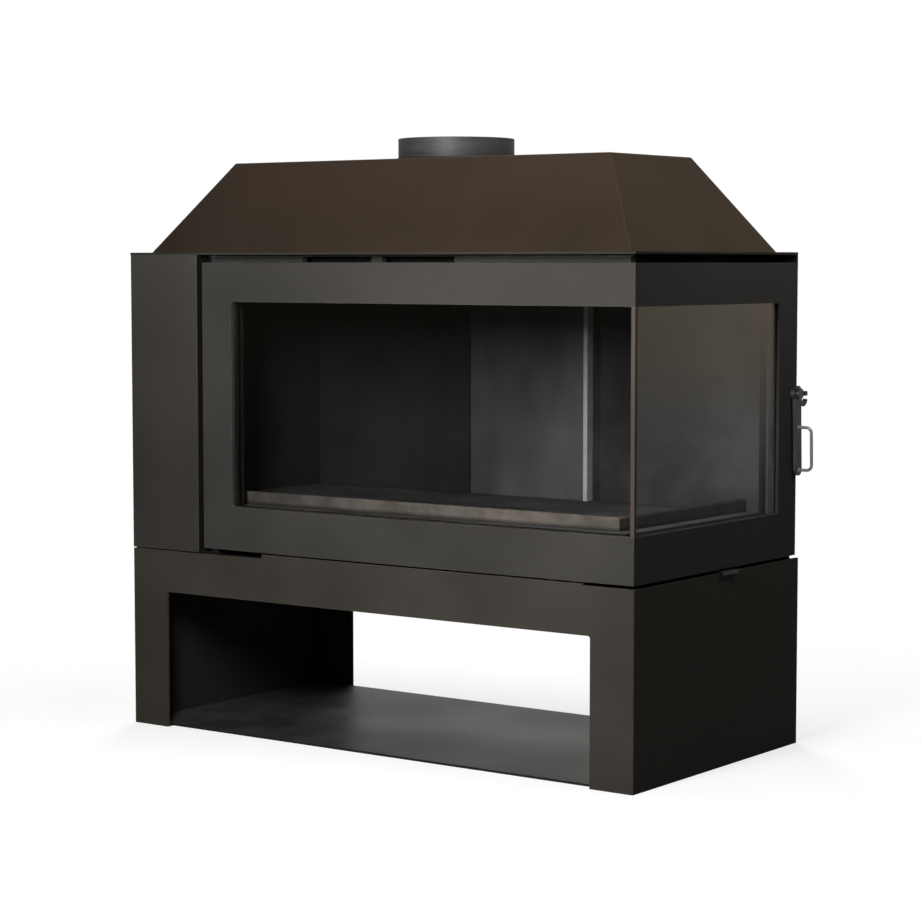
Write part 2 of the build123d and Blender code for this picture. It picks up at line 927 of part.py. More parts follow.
def keeper_screws():
    """Two screws that hold the keeper's angle."""
    x = keeper_ear - keeper_plate - keeper_width / 2
    y = half_depth + keeper_plate
    points = [(x, y, latch_height + side * keeper_screw_spacing / 2) for side in (-1, 1)]
    return Compound(screw_heads(points, Rot(-90, 0, 0), screw_radius, screw_head))


def assembly():
    """Every node of the stove by name."""
    seam_left = -half_width + lining_seam_left
    seam_right = -half_width + lining_seam_right
    nodes = {
        "base_front_frame": base_front(),
        "base_back_frame": base_portal("back", base_height),
        "base_left_side": base_wall("left", base_height),
        "base_right_side": base_wall("right", bottom_top),
        "base_floor": base_floor(),
        "base_top": base_top(),
        "body_bottom": body_bottom(),
        "left_cover": left_cover(),
        "back_panel": back_panel(),
        "top_plate": top_plate(),
        "header_strip": header_strip(),
        "left_wall": left_wall(),
        "back_wall": back_wall(),
        "left_jamb": left_jamb(),
        "rear_jamb": rear_jamb(),
        "sill": sill(),
        "lintel": lintel(),
        "left_lining": left_lining(),
        "back_lining_left": back_lining(lining_left, seam_left - lining_seam / 2),
        "back_lining_centre": back_lining(seam_left + lining_seam / 2, seam_right),
        "back_lining_right": back_lining(seam_right + clamp_bar_width + clamp_bar_recess, fire_right),
        "clamp_bar": clamp_bar(),
        "hearth_ledge": hearth_ledge(),
        "hearth": hearth(),
        "log_retainer": log_retainer(),
        "baffle": baffle(),
        "baffle_rest": baffle_rest(),
        "hood_top": hood_top(),
        "flue_collar": flue_collar(),
        "hinge_bottom": hinge_bottom(),
        "hinge_top": hinge_top(),
        "keeper_bracket": keeper_bracket(),
        "keeper_pin": keeper_pin(),
        "keeper_screws": keeper_screws(),
        "back_screws": back_screws(),
        "air_guide": air_guide(),
        "door_frame": door_frame(),
        "front_glass": front_glass(),
        "side_glass": side_glass(),
        "corner_bead": corner_bead(),
        "front_glazing_bars": glazing_bars(front_bars()),
        "side_glazing_bars": glazing_bars(side_bars()),
        "glazing_screws": glazing_screws(),
        "door_seal": door_seal(),
        "latch_bolt": latch_bolt(),
        "latch_washer": latch_washer(),
        "latch_lever": latch_lever(),
        "latch_handle": latch_handle(),
        "air_slide": air_slide(),
        "ash_pan": ash_pan(),
        "grate": grate(),
    }
    nodes.update(hood_sides())
    return nodes


os.makedirs("parts", exist_ok=True)
for name, shape in assembly().items():
    export_step(shape, f"parts/{name}.step")
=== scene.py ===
import json
import math

import bmesh
import bpy
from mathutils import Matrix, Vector


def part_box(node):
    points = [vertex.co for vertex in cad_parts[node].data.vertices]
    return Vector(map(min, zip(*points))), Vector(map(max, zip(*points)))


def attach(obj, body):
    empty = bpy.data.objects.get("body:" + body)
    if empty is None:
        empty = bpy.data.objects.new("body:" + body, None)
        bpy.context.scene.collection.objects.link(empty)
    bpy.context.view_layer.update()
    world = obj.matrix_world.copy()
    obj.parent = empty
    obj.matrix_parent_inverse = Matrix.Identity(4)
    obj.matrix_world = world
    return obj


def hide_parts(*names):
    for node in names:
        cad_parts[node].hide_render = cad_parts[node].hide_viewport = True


# Looks of a corner-glass wood burning stove, in metres, in the frame of its solids.
# +Z is up, the front faces -Y and the glass corner is at +X, -Y.

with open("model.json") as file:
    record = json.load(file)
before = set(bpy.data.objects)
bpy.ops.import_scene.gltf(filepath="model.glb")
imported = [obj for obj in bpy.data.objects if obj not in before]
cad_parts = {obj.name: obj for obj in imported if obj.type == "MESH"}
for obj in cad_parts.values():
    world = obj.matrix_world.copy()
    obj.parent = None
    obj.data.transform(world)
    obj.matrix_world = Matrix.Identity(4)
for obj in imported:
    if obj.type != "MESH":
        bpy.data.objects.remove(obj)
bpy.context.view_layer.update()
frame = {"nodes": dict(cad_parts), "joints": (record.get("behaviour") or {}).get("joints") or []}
nodes = frame["nodes"]

# Directions
RIGHT = (1.0, 0.0, 0.0)
UP = (0.0, 0.0, 1.0)

# Places of the solids at rest
body_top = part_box("top_plate")[1].z
strip_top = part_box("header_strip")[1].z
door_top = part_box("door_frame")[1].z
hearth_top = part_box("hearth")[1].z
bar_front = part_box("log_retainer")[0].y
collar_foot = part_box("flue_collar")[0].z

# Camera of the photograph: level horizon above the middle, so it looks a little down
CAMERA_PLACE = (2.4209, -3.3082, 0.7819)
CAMERA_TURN = 36.103
CAMERA_DROP = 4.561
CAMERA_LENS = 97.27

# Studio: each lamp's place, aim, size and power
KEY_LAMP = ((0.46, -1.45, 1.06), (0.15, -0.25, 0.52), (0.3, 0.5), 25.5)
TOP_LAMP = ((0.25, -0.05, 2.10), (0.1, 0.0, 0.9), (0.5, 0.5), 11.0)
SIDE_LAMP = ((1.00, 0.10, 1.20), (0.5, 0.0, 0.80), (0.3, 0.3), 2.1)
BACK_LAMP = ((-1.30, 1.70, 1.30), (-0.1, 0.2, 0.5), (0.8, 0.8), 34.0)

# Surroundings: light from all round, and what gloss mirrors of them, by direction and rise
AMBIENT = 0.02
REFLECTED_DIM = 0.05
REFLECTED_BRIGHT = 0.90
REFLECTED_TOWARDS = (-0.4, 0.917, 0.0)
REFLECTED_START = 0.10
REFLECTED_TINT = (1.0, 0.86, 0.66, 1.0)
TINT_FROM = (-0.08, -0.03)
TINT_TO = (0.10, 0.0)
UNDER_HORIZON = -0.11
UNDER_SHARE = 0.12

# Floor: its reach, its own tone, what it throws back, and its level where it is seen or mirrored
FLOOR_REACH = 2.7
FLOOR_TONE = 0.40
FLOOR_MOTTLE = 0.01
FLOOR_GRAIN = 6.0
FLOOR_BOUNCE = 0.28
FLOOR_LIFT = 0.70
FLOOR_MIRRORED = 0.18
FLOOR_NEAR = 0.55
FLOOR_FAR = 1.40

# Softened edges: their radius by kind of piece
DOOR_EDGE = 0.0010
SHEET_EDGE = 0.0006
BEAD_EDGE = 0.0008
CAST_EDGE = 0.0012
ANGLE_EDGE = 0.0005
FINE_EDGE = 0.0004
SHARP_EDGE = 0.0
EDGE_STEPS = 3
EDGE_ANGLE = math.radians(40.0)
MERGE_DISTANCE = 0.00001

# Rope seal
ROPE_SIZE = 0.008
ROPE_BEND = 0.014
ROPE_BEND_STEPS = 12
ROPE_STEP = 0.0015
ROPE_SIDES = 24
ROPE_STRANDS = 6
ROPE_PLAIT = 0.009
ROPE_RELIEF = 0.0007

# Handle loop on the latch lever
HANDLE_FIRST = 0.054
HANDLE_LENGTH = 0.069
HANDLE_SLANT = math.radians(2.0)
HANDLE_ROD = 0.0025
HANDLE_BEND = 0.009
HANDLE_BEND_STEPS = 10
HANDLE_SIDES = 24

# Weld beads
COLLAR_BEAD = 0.0032
HANDLE_BEAD = 0.0016
BEAD_RIPPLE = 0.12
BEAD_PITCH = 0.0045
BEAD_STEPS = 4
BEAD_LEAST = 16
BEAD_SIDES = 12

# Screw heads: height, reach and whether it is hexagonal, ring by ring, as shares of the solid head
HEAD_PROFILE = [
    (0.0, 1.22, False), (0.22, 1.22, False), (0.32, 1.12, False), (0.34, 0.98, True),
    (0.86, 0.98, True), (0.96, 0.88, True), (1.0, 0.80, False),
]
HEAD_SIDES = 24
HEAD_SHARE = 0.92
HEAD_TURN = 0.7
HEAD_SPACING = 0.012

# Grain of the finishes, in spots to the metre
CLOUD_GRAIN = 4.5
POWDER_GRAIN = 1100.0
BLOOM_GRAIN = 2.2
RUBBED_GRAIN = 38.0
DUST_GRAIN = 9.0
TURNED_GRAIN = 60.0
STREAK_GRAIN = 5.0
ASH_GRAIN = 8.0
PLATE_GRAIN = 700.0
CAST_GRAIN = 330.0
BAR_GRAIN = 420.0
BAR_PATCHES = 30.0
DRAWN_GRAIN = 900.0
SMUDGE_GRAIN = 45.0
HAZE_GRAIN = 7.0
FIBRE_GRAIN = 2600.0
STAIN_GRAIN = 60.0

# Depth of the finishes' relief
POWDER_RELIEF = 0.00018
TURNED_RELIEF = 0.00012
SOOT_RELIEF = 0.00012
BAR_RELIEF = 0.0006
DRAWN_RELIEF = 0.00006
FIBRE_RELIEF = 0.0004

# Width of the edges that are rubbed lighter
PAINT_RUBBED = 0.0016
COLLAR_RUBBED = 0.001
STEEL_RUBBED = 0.0008

# Where a finish, a painted light or a painted shade starts to change and where the change is complete
# Heights over which painted light makes the column lighter towards its top
COLUMN_LIGHT_RISE = (0.56, 0.82)
HOOD_BLOOMS = (0.80, 0.94)
# Heights over which the painted shadow under the top plate fades out of the header strip
STRIP_SHADOW_FADE = (strip_top - 0.0025, door_top - 0.001)
PLATE_CLEARS = (body_top - 0.0002, body_top - 0.001)
COLLAR_BROWNS = (collar_foot + 0.0225, collar_foot + 0.0025)
BAR_SOOTY_FOOT = (hearth_top + 0.008, hearth_top + 0.001)
BAR_DARK_ALONG_SIDE = (bar_front - 0.011, bar_front + 0.059)
BAR_GREYS = (-0.40, 0.20)
# Along the firebox plates: more ash, and painted light from the side pane, towards the right
ASH_AND_LIGHT_RIGHTWARD = (-0.10, 0.35)
ASH_FOOT = 0.36
PLATE_ASH_TOP = 0.52
CAST_ASH_TOP = 0.60
CENTRE_ASH_TOP = 0.80

# Range that most of a noise falls in
NOISE_LOW = 0.30
NOISE_HIGH = 0.70


def tone(code):
    """Linear colour of a written web colour."""
    values = [int(code[i:i + 2], 16) / 255 for i in (1, 3, 5)]
    return [v / 12.92 if v <= 0.04045 else ((v + 0.055) / 1.055) ** 2.4 for v in values] + [1.0]


def scaled(colour, factor):
    """Lighter or darker colour of the same hue."""
    return [c * factor for c in colour[:3]] + [1.0]


# Colours
WHITE = [1.0, 1.0, 1.0, 1.0]
PAINT = tone("#413f3c")
# Corner bead: paint with a painted warm lamp glow, lighter and warmer than the door
BEAD_PAINT_AND_GLOW = tone("#524a43")
COLUMN_PAINT = tone("#3e3b38")
# Painted light: the lighter tone at the column's top
COLUMN_TOP_LIGHT = tone("#4d4b48")
BASE_PAINT = tone("#413d38")
STORE_PAINT = tone("#1f1f1f")
# Painted shade: the darker inner wall of the log store
STORE_WALL_SHADE = tone("#2a2826")
TOP_PAINT = tone("#231d18")
FRAME_PAINT = tone("#1e1c1a")
HOOD_PAINT = tone("#302821")
HOOD_BLOOM = tone("#392f27")
# Painted light: a lighter copy of the hood's paint for its right slope, lit from above
HOOD_LIT_SIDE = tone("#40362c")
COLLAR_PAINT = tone("#515253")
# Painted shade: a dark tone for the gap beside the door, the plate under the door and the strip under the top
# plate
PAINTED_SHADE_DARK = tone("#191817")
DUST = tone("#8a847c")
WORN = tone("#77736e")
SOOT = tone("#121111")
# Ash grey, also used for painted light on the right of the firebox plates
ASH_AND_LIT_GREY = tone("#6e6e6e")
SOOTY_STEEL = tone("#1a1817")
SOOTY_CAST = tone("#373737")
ASHEN_CAST = tone("#7a7b7c")
ASHY_BAR = tone("#716a64")
# Clamp bar: steel lightened past bare steel, a painted glint in the dark firebox
BAR_STEEL_AND_GLINT = tone("#e0dfdc")
DARK_STEEL = tone("#626264")
TAB_STEEL = tone("#4a4845")
LOOP_STEEL = tone("#929495")
HINGE_STEEL = tone("#141313")
BOLT_STEEL = tone("#6d6d6c")
BLACK_STEEL = tone("#3f3f40")
ROPE_LIGHT = tone("#7c7973")
ROPE_DARK = tone("#2c2a28")
GLASS_TINT = [0.845, 0.845, 0.84, 1.0]
GLASS_IOR = 1.47


class Nodes:
    """Short calls that add and join the nodes of one tree."""

    def __init__(self, tree):
        tree.nodes.clear()
        self.tree = tree

    def join(self, value, socket):
        """Links an output to a socket, or sets a plain value on it."""
        if isinstance(value, bpy.types.NodeSocket):
            self.tree.links.new(value, socket)
        else:
            socket.default_value = value

    def add(self, kind, settings=None, **inputs):
        """New node with its settings and inputs."""
        node = self.tree.nodes.new("ShaderNode" + kind)
        for name, value in (settings or {}).items():
            setattr(node, name, value)
        for name, value in inputs.items():
            self.join(value, node.inputs[name.replace("_", " ")])
        return node

    def maths(self, operation, a, b):
        node = self.add("Math", {"operation": operation})
        self.join(a, node.inputs[0])
        self.join(b, node.inputs[1])
        return node.outputs[0]

    def times(self, a, b):
        return self.maths("MULTIPLY", a, b)

    def larger(self, a, b):
        return self.maths("MAXIMUM", a, b)

    def dot(self, a, b):
        """How far two directions agree, from -1 to 1."""
        node = self.add("VectorMath", {"operation": "DOT_PRODUCT"})
        self.join(a, node.inputs[0])
        self.join(b, node.inputs[1])
        return node.outputs["Value"]

    def ramp(self, value, low, high, start=0.0, end=1.0):
        """Value taken smoothly from the range low..high to start..end."""
        node = self.add(
            "MapRange",
            {"interpolation_type": "SMOOTHSTEP"},
            Value=value, From_Min=low, From_Max=high, To_Min=start, To_Max=end,
        )
        return node.outputs[0]

    def spread(self, noise, start=0.0, end=1.0):
        """Noise taken from its usual range to start..end."""
        return self.ramp(noise, NOISE_LOW, NOISE_HIGH, start, end)

    def blend(self, share, a, b):
        """Colour a with a share of colour b."""
        node = self.add("Mix", {"data_type": "RGBA"})
        for value, index in ((share, 0), (a, 6), (b, 7)):
            self.join(value, node.inputs[index])
        return node.outputs[2]

    def place(self):
        """Place on the piece, in metres."""
        return self.add("TexCoord").outputs["Object"]

    def parted(self, vector):
        """X, Y and Z of a vector."""
        return self.add("SeparateXYZ", Vector=vector).outputs

    def height(self):
        """Height above the floor at rest."""
        return self.parted(self.place())["Z"]

    def noise(self, scale, detail, stretch=(1.0, 1.0, 1.0)):
        """Cloudy noise on the piece, with so many spots to the metre."""
        where = self.add("Mapping", Vector=self.place(), Scale=stretch).outputs[0]
        return self.add("TexNoise", Vector=where, Scale=scale, Detail=detail).outputs[0]

    def facing(self, direction):
        """How far the surface faces a direction, from -1 to 1."""
        return self.dot(self.add("NewGeometry").outputs["Normal"], direction)

    def edges(self, radius):
        """Share of 1 on sharp edges and 0 on flat faces."""
        rounded = self.add("Bevel", {"samples": 4}, Radius=radius).outputs[0]
        return self.ramp(self.facing(rounded), 0.995, 0.90)

    def dust(self, amount):
        """Share of dust on faces that look up, in soft patches."""
        level = self.ramp(self.facing(UP), 0.75, 0.98)
        patches = self.ramp(self.noise(DUST_GRAIN, 5.0), 0.30, 0.75, 0.35, 1.0)
        return self.times(self.times(level, patches), amount)

    def bump(self, height, distance, strength):
        """Normal of a surface with a small relief."""
        return self.add("Bump", Height=height, Distance=distance, Strength=strength).outputs[0]

    def mix(self, share, first, second):
        """Surface first with a share of surface second."""
        node = self.add("MixShader", Fac=share)
        self.join(first.outputs[0], node.inputs[1])
        self.join(second.outputs[0], node.inputs[2])
        return node

    def output(self, node):
        """Makes a shader the material's surface."""
        self.add("OutputMaterial", Surface=node.outputs[0])

    def shader(self, **inputs):
        """Principled surface; a finish that is the same all over is set on its own socket."""
        self.output(self.add("BsdfPrincipled", **inputs))


def surface(name):
    """New material and its empty tree."""
    material = bpy.data.materials.new(name)
    material.use_nodes = True
    return material, Nodes(material.node_tree)


def painted_steel(
    name, colour, dust=0.25, roughness=0.66, specular=0.05, wear=0.55, height_tone=None, painted_shade=None,
):
    """Matt heat-proof paint with a fine powder skin, rubbed lighter along the edges.

    A height tone is a colour and the heights between which the paint turns to it: heat tint and two-tone
    edges on some pieces, painted light and painted shadow by height on others. A painted shade is a
    direction and the colour of painted shade on the faces that look that way.
    """
    material, n = surface(name)
    cloud = n.noise(CLOUD_GRAIN, 5.0)
    speck = n.noise(POWDER_GRAIN, 2.0)
    shade = n.blend(n.spread(cloud), scaled(colour, 0.86), scaled(colour, 1.14))
    # tone by height: heat tint and two-tone edges on some pieces, painted light and painted shadow on others
    if height_tone:
        tint, low, high = height_tone
        patches = n.ramp(n.noise(BLOOM_GRAIN, 3.0), 0.35, 0.70, 0.5, 1.0)
        shade = n.blend(n.times(patches, n.ramp(n.height(), low, high)), shade, tint)
    shade = n.blend(n.ramp(speck, 0.52, 0.78, 0.0, 0.30), shade, scaled(colour, 2.0))
    scuffs = n.ramp(n.noise(RUBBED_GRAIN, 4.0), 0.40, 0.75, 0.1 * wear, wear)
    shade = n.blend(n.times(n.edges(PAINT_RUBBED), scuffs), shade, WORN)
    shade = n.blend(n.dust(dust), shade, DUST)
    # painted shade on the faces that look one way
    if painted_shade:
        way, inner = painted_shade
        shade = n.blend(n.ramp(n.facing(way), 0.70, 0.95), shade, inner)
    n.shader(
        Base_Color=shade,
        Roughness=n.spread(cloud, roughness - 0.05, roughness + 0.06),
        Specular_IOR_Level=specular,
        Normal=n.bump(speck, POWDER_RELIEF, 0.55),
    )
    return material


def gunmetal(name, colour):
    """Satin paint of the flue collar, with fine turned lines and a heat-browned foot."""
    material, n = surface(name)
    lines = n.noise(TURNED_GRAIN, 3.0, stretch=(0.4, 0.4, 22.0))
    browned = n.ramp(n.height(), *COLLAR_BROWNS)
    shade = n.blend(n.ramp(lines, 0.35, 0.65), scaled(colour, 0.82), scaled(colour, 1.2))
    shade = n.blend(n.times(browned, 0.45), shade, HOOD_PAINT)
    shade = n.blend(n.times(n.edges(COLLAR_RUBBED), 0.6), shade, WORN)
    n.shader(
        Base_Color=shade,
        Metallic=0.45,
        Roughness=n.spread(lines, 0.52, 0.62),
        Specular_IOR_Level=0.10,
        Normal=n.bump(lines, TURNED_RELIEF, 0.5),
    )
    return material


def sooty(name, colour, grain, ash_top):
    """Plate inside the firebox: soot above, grey ash towards the hearth and on ledges, greyer towards the
    right with painted light from the side pane.
    """
    material, n = surface(name)
    streaks = n.noise(STREAK_GRAIN, 4.0, stretch=(1.0, 1.0, 0.45))
    skin = n.noise(grain, 3.0)
    low = n.ramp(n.height(), ash_top, ASH_FOOT, 0.45, 1.0)
    # painted light from the side pane: the ash grey grows towards the right
    along = n.ramp(n.parted(n.place())["X"], *ASH_AND_LIGHT_RIGHTWARD, 0.12, 1.0)
    patches = n.ramp(n.noise(ASH_GRAIN, 5.0), 0.35, 0.70, 0.20, 0.75)
    shade = n.blend(n.ramp(streaks, 0.30, 0.72, 0.25, 0.9), SOOT, colour)
    shade = n.blend(n.times(n.times(low, along), patches), shade, ASH_AND_LIT_GREY)
    shade = n.blend(n.dust(0.5), shade, ASH_AND_LIT_GREY)
    n.shader(
        Base_Color=shade,
        Roughness=n.spread(skin, 0.72, 0.92),
        Specular_IOR_Level=0.2,
        Normal=n.bump(skin, SOOT_RELIEF, 0.5),
    )
    return material


def ashy_cast(name, colour):
    """Cast bar greyed by ash along the front, sooty at its foot and darker along the side pane."""
    material, n = surface(name)
    skin = n.noise(BAR_GRAIN, 3.0)
    patches = n.noise(BAR_PATCHES, 5.0)
    place = n.parted(n.place())
    ashes = n.blend(n.ramp(place["X"], *BAR_GREYS), colour, scaled(colour, 1.7))
    shade = n.blend(n.ramp(patches, 0.30, 0.72, 0.55, 1.0), SOOT, ashes)
    shade = n.blend(n.ramp(skin, 0.60, 0.80, 0.0, 0.4), shade, SOOT)
    shade = n.blend(n.ramp(place["Z"], *BAR_SOOTY_FOOT, 0.0, 0.7), shade, SOOT)
    # darker along the side pane
    shade = n.blend(n.ramp(place["Y"], *BAR_DARK_ALONG_SIDE, 0.0, 0.75), shade, SOOT)
    n.shader(
        Base_Color=shade,
        Roughness=n.spread(patches, 0.78, 0.92),
        Specular_IOR_Level=0.2,
        Normal=n.bump(skin, BAR_RELIEF, 0.7),
    )
    return material


def steel(name, colour, roughness, metallic=0.85, lines=(1.0, 1.0, 0.05)):
    """Satin steel with fine drawn lines, lighter where it is handled."""
    material, n = surface(name)
    drawn = n.noise(DRAWN_GRAIN, 2.0, stretch=lines)
    smudge = n.noise(SMUDGE_GRAIN, 4.0)
    shade = n.blend(n.spread(drawn), scaled(colour, 0.80), scaled(colour, 1.15))
    shade = n.blend(n.ramp(smudge, 0.45, 0.75, 0.0, 0.35), shade, scaled(colour, 0.6))
    shade = n.blend(n.times(n.edges(STEEL_RUBBED), 0.5), shade, scaled(colour, 1.8))
    n.shader(
        Base_Color=shade,
        Metallic=metallic,
        Roughness=n.spread(smudge, roughness - 0.06, roughness + 0.10),
        Normal=n.bump(drawn, DRAWN_RELIEF, 0.5),
    )
    return material


def ceramic_glass(name):
    """Clear pane, faintly smoked; light passes straight through it into the firebox."""
    material, n = surface(name)
    haze = n.noise(HAZE_GRAIN, 5.0)
    pane = n.add(
        "BsdfPrincipled",
        Base_Color=n.blend(n.ramp(haze, 0.35, 0.75), GLASS_TINT, scaled(GLASS_TINT, 0.88)),
        Roughness=0.0,
        Transmission_Weight=1.0,
        IOR=GLASS_IOR,
    )
    straight = n.add("BsdfTransparent", Color=GLASS_TINT)
    rays = n.add("LightPath").outputs
    n.output(n.mix(n.larger(rays["Is Shadow Ray"], rays["Is Diffuse Ray"]), pane, straight))
    return material


def braided_fibre(name):
    """Dark glass-fibre rope: the strands are lighter and the plait's valleys darker."""
    material, n = surface(name)
    relief = n.add("Attribute", {"attribute_name": "relief"}).outputs["Fac"]
    fibres = n.noise(FIBRE_GRAIN, 2.0)
    shade = n.blend(n.ramp(relief, 0.15, 0.85), ROPE_DARK, ROPE_LIGHT)
    shade = n.blend(n.ramp(n.noise(STAIN_GRAIN, 3.0), 0.40, 0.70, 0.0, 0.5), shade, ROPE_DARK)
    shade = n.blend(n.ramp(fibres, 0.40, 0.70, 0.0, 0.35), shade, scaled(ROPE_LIGHT, 1.3))
    n.shader(
        Base_Color=shade,
        Roughness=n.spread(fibres, 0.80, 0.95),
        Sheen_Weight=0.25,
        Normal=n.bump(fibres, FIBRE_RELIEF, 0.8),
    )
    return material


def show(obj, material):
    """Gives a piece one material all over."""
    obj.data.materials.clear()
    obj.data.materials.append(material)


def soften(obj, radius):
    """Rounded edges on a solid: its faces are joined first and then keep flat normals."""
    weld = obj.modifiers.new("weld", "WELD")
    weld.merge_threshold = MERGE_DISTANCE
    bevel = obj.modifiers.new("edges", "BEVEL")
    bevel.width = radius
    bevel.segments = EDGE_STEPS
    bevel.limit_method = "ANGLE"
    bevel.angle_limit = EDGE_ANGLE
    normals = obj.modifiers.new("normals", "WEIGHTED_NORMAL")
    normals.keep_sharp = False


def paints():
    """Painted sheets: each finish with the radius of its edges and its solids."""
    # Column: painted light, lighter towards its top, and painted shade on its return beside the door
    column = painted_steel(
        "column_painted_light_and_shade", COLUMN_PAINT, height_tone=(COLUMN_TOP_LIGHT, *COLUMN_LIGHT_RISE), painted_shade=(RIGHT, PAINTED_SHADE_DARK),
    )
    # Header strip: painted shadow, dark under the top plate and fading to the door's paint further down
    strip = painted_steel("header_painted_shadow", PAINTED_SHADE_DARK, height_tone=(PAINT, *STRIP_SHADOW_FADE))
    plate = painted_steel("top_paint", TOP_PAINT, dust=0.30, wear=0.1, height_tone=(PAINT, *PLATE_CLEARS))
    # Plate under the door: painted shade all over, for the gap below the door
    foot = painted_steel("foot_painted_shade", PAINTED_SHADE_DARK, dust=0.1, wear=0.1)
    mouth = painted_steel("mouth_paint", FRAME_PAINT, dust=0.4, wear=0.2)
    # Base's left side: painted shade on its inner face, inside the log store
    base_side = painted_steel("base_side_painted_shade", BASE_PAINT, painted_shade=(RIGHT, STORE_WALL_SHADE))
    store = painted_steel("store_paint", STORE_PAINT, dust=0.20, roughness=0.46, specular=0.20)
    hood_finish = {"dust": 0.35, "specular": 0.04, "wear": 0.0}
    hood = painted_steel("hood_paint", HOOD_PAINT, height_tone=(HOOD_BLOOM, *HOOD_BLOOMS), **hood_finish)
    # Right slope of the hood: painted light, lighter than the other slopes
    hood_side = painted_steel("hood_side_painted_light", HOOD_LIT_SIDE, **hood_finish)
    return [
        (painted_steel("door_paint", PAINT), DOOR_EDGE, ["door_frame"]),
        (strip, DOOR_EDGE, ["header_strip"]),
        # corner bead: paint with a painted warm lamp glow
        (painted_steel("bead_paint_and_glow", BEAD_PAINT_AND_GLOW), BEAD_EDGE, ["corner_bead"]),
        (column, SHEET_EDGE, ["left_cover"]),
        (painted_steel("shell_paint", COLUMN_PAINT), SHEET_EDGE, ["back_panel"]),
        (plate, SHEET_EDGE, ["top_plate"]),
        (foot, SHEET_EDGE, ["body_bottom"]),
        (mouth, SHEET_EDGE, ["left_jamb", "rear_jamb", "sill", "lintel", "air_guide"]),
        (
            painted_steel("base_paint", BASE_PAINT), SHARP_EDGE,
            ["base_front_frame", "base_back_frame", "base_right_side"],
        ),
        (base_side, SHARP_EDGE, ["base_left_side"]),
        (store, SHARP_EDGE, ["base_floor", "base_top"]),
        (hood, SHARP_EDGE, ["hood_front", "hood_back", "hood_left", "hood_top"]),
        (hood_side, SHARP_EDGE, ["hood_right"]),
        (gunmetal("collar_paint", COLLAR_PAINT), SHEET_EDGE, ["flue_collar"]),
    ]


def firebox_finishes():
    """Sooty plates and castings and the panes, listed as the painted sheets are."""
    plate = sooty("sooty_steel", SOOTY_STEEL, PLATE_GRAIN, PLATE_ASH_TOP)
    cast = sooty("sooty_cast", SOOTY_CAST, CAST_GRAIN, CAST_ASH_TOP)
    centre = sooty("ashen_cast", ASHEN_CAST, CAST_GRAIN, CENTRE_ASH_TOP)
    # clamp bar: light steel with a painted glint
    clamp = steel("clamp_steel_and_glint", BAR_STEEL_AND_GLINT, roughness=0.60, metallic=0.15)
    return [
        (
            plate, SHEET_EDGE,
            ["left_wall", "back_wall", "hearth_ledge", "baffle", "baffle_rest", "ash_pan"],
        ),
        (cast, CAST_EDGE, ["left_lining", "back_lining_left", "back_lining_right", "hearth", "grate"]),
        (centre, CAST_EDGE, ["back_lining_centre"]),
        (ashy_cast("ashy_bar", ASHY_BAR), BEAD_EDGE, ["log_retainer"]),
        (clamp, SHEET_EDGE, ["clamp_bar"]),
        (ceramic_glass("ceramic_glass"), FINE_EDGE, ["front_glass", "side_glass"]),
    ]


def steels():
    """Bare steel of the latch, the hinges and the bars, listed as the painted sheets are."""
    lever = steel("latch_steel", DARK_STEEL, roughness=0.42)
    tab = steel("tab_steel", TAB_STEEL, roughness=0.45)
    hinge = steel("hinge_steel", HINGE_STEEL, roughness=0.60, metallic=0.2)
    pin = steel("pin_steel", BOLT_STEEL, roughness=0.40, lines=(0.05, 1.0, 1.0))
    angle = steel("bracket_steel", BLACK_STEEL, roughness=0.48)
    return [
        (lever, SHEET_EDGE, ["latch_lever", "latch_washer"]),
        (tab, FINE_EDGE, ["air_slide"]),
        (hinge, FINE_EDGE, ["hinge_bottom", "hinge_top"]),
        (pin, FINE_EDGE, ["keeper_pin", "latch_bolt"]),
        (angle, ANGLE_EDGE, ["keeper_bracket", "front_glazing_bars", "side_glazing_bars"]),
    ]


def finish_solids():
    """Gives every solid its finish and most of them softened edges."""
    for material, radius, names in paints() + firebox_finishes() + steels():
        for name in names:
            show(nodes[name], material)
            if radius:
                soften(nodes[name], radius)


def new_piece(name, body, material, mesh_maker):
    """New smooth mesh piece that moves with a body."""
    mesh = bpy.data.meshes.new(name)
    bm = bmesh.new()
    mesh_maker(bm)
    bmesh.ops.recalc_face_normals(bm, faces=bm.faces)
    bm.to_mesh(mesh)
    bm.free()
    mesh.shade_smooth()
    piece = bpy.data.objects.new(name, mesh)
    bpy.context.scene.collection.objects.link(piece)
    show(piece, material)
    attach(piece, body)
    return piece


def turns(count):
    """Angles of a full turn in equal steps."""
    return [2 * math.pi * k / count for k in range(count)]


def bridge(bm, rings, closed):
    """Skins a row of equal rings of vertices; a closed row joins its end to its start."""
    pairs = list(zip(rings, rings[1:]))
    if closed:
        pairs.append((rings[-1], rings[0]))
    for first, second in pairs:
        for i in range(len(first)):
            j = (i + 1) % len(first)
            bm.faces.new((first[i], first[j], second[j], second[i]))


def rounded_route(corners, radius, steps, closed):
    """Route through corners with each bend rounded by an arc."""
    count = len(corners)
    points = []
    for i, corner in enumerate(corners):
        if not closed and i in (0, count - 1):
            points.append(corner)
            continue
        before = (corners[i - 1] - corner).normalized()
        after = (corners[(i + 1) % count] - corner).normalized()
        half = before.angle(after) / 2
        reach = radius / math.tan(half)
        centre = corner + (before + after).normalized() * (radius / math.sin(half))
        start = corner + before * reach - centre
        end = corner + after * reach - centre
        for k in range(steps + 1):
            points.append(centre + start.slerp(end, k / steps).normalized() * radius)
    return points


